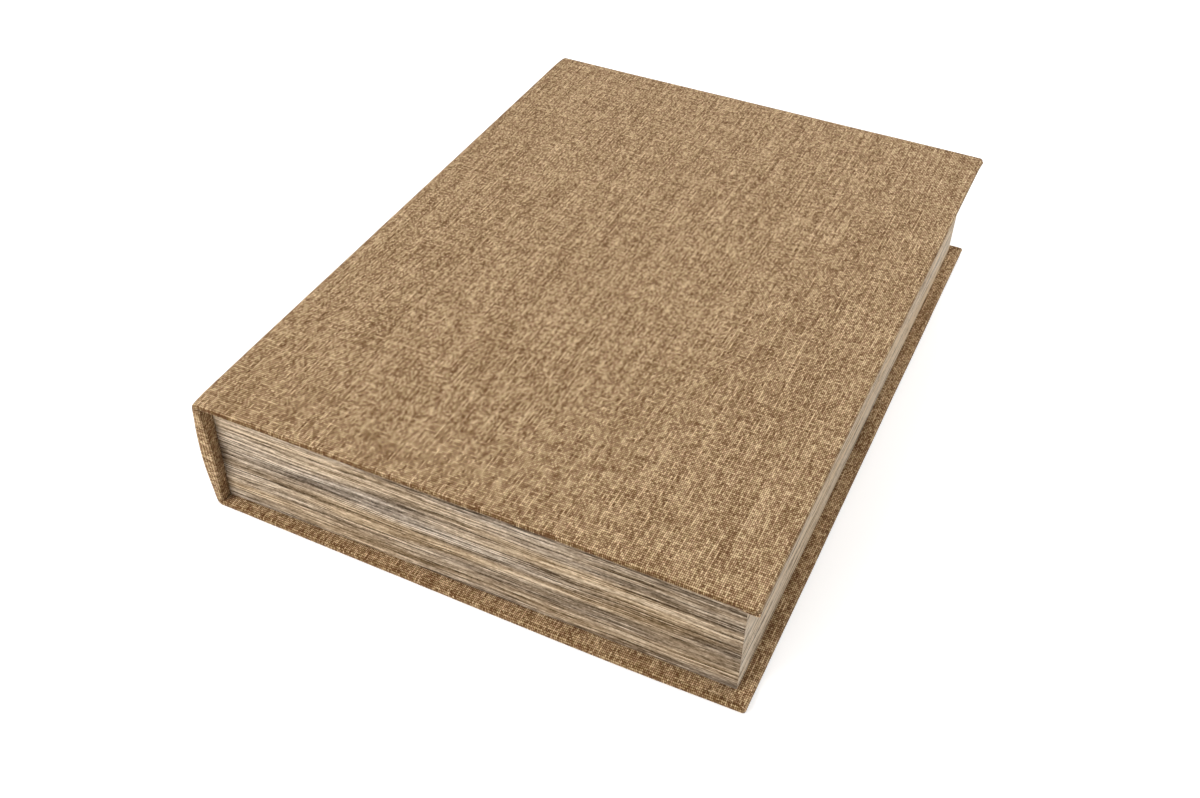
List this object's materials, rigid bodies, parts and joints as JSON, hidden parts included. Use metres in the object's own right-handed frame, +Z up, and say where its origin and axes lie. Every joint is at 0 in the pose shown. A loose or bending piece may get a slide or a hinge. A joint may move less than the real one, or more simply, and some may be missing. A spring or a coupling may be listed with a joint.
{
  "type": "clamshell book box",
  "caption": "Clamshell box shaped like a closed book: a linen-covered drop-spine case whose outer tray, papered like page edges, nests over an inner tray that holds papers.",
  "frame": {"origin": "under the middle of the closed box, on the surface it stands on", "axes": "+Z up from the base to the lid; -X the spine, +X the fore-edge; -Y the tail, +Y the head"},
  "size_m": [0.2408, 0.3288, 0.0588],
  "materials": {
    "cover_linen": "slubby book linen, undyed golden brown",
    "lining_cloth": "fine woven lining cloth",
    "greyboard": "raw greyboard",
    "tray_paper": "uncoated lining paper",
    "page_edge_paper": "uncoated paper patterned as stacked page edges"
  },
  "bodies": {
    "base": {"base_board": "greyboard", "base_cover_linen": "cover_linen", "base_hinge_lining": "lining_cloth", "lower_joint_linen": "cover_linen", "inner_tray_floor": "greyboard", "inner_tray_head_wall": "greyboard", "inner_tray_tail_wall": "greyboard", "inner_tray_fore_wall": "greyboard", "inner_tray_head_paper": "tray_paper", "inner_tray_tail_paper": "tray_paper", "inner_tray_fore_paper": "tray_paper", "inner_tray_floor_lining": "tray_paper"},
    "spine": {"spine_board": "greyboard", "spine_cover_linen": "cover_linen", "spine_lining": "lining_cloth"},
    "lid": {"lid_board": "greyboard", "lid_cover_linen": "cover_linen", "lid_hinge_lining": "lining_cloth", "upper_joint_linen": "cover_linen", "outer_tray_floor": "greyboard", "outer_tray_head_wall": "greyboard", "outer_tray_tail_wall": "greyboard", "outer_tray_fore_wall": "greyboard", "outer_tray_head_page_edge_paper": "page_edge_paper", "outer_tray_tail_page_edge_paper": "page_edge_paper", "outer_tray_fore_page_edge_paper": "page_edge_paper", "outer_tray_floor_lining": "tray_paper"}
  },
  "joints": [
    {"name": "spine_hinge", "type": "hinge", "parent": "base", "child": "spine", "pos_m": [-0.1186, 0, 0.0002], "axis": [0, -1, 0], "range_deg": [0, 85.5], "deforming": ["lower_joint_linen"]},
    {"name": "lid_hinge", "type": "hinge", "parent": "spine", "child": "lid", "pos_m": [-0.1186, 0, 0.0586], "axis": [0, -1, 0], "range_deg": [0, 95.5], "deforming": ["upper_joint_linen"]}
  ],
  "couplings": [
    {"joint": "lid_hinge", "follows": "spine_hinge", "ratio": 1.1169}
  ]
}
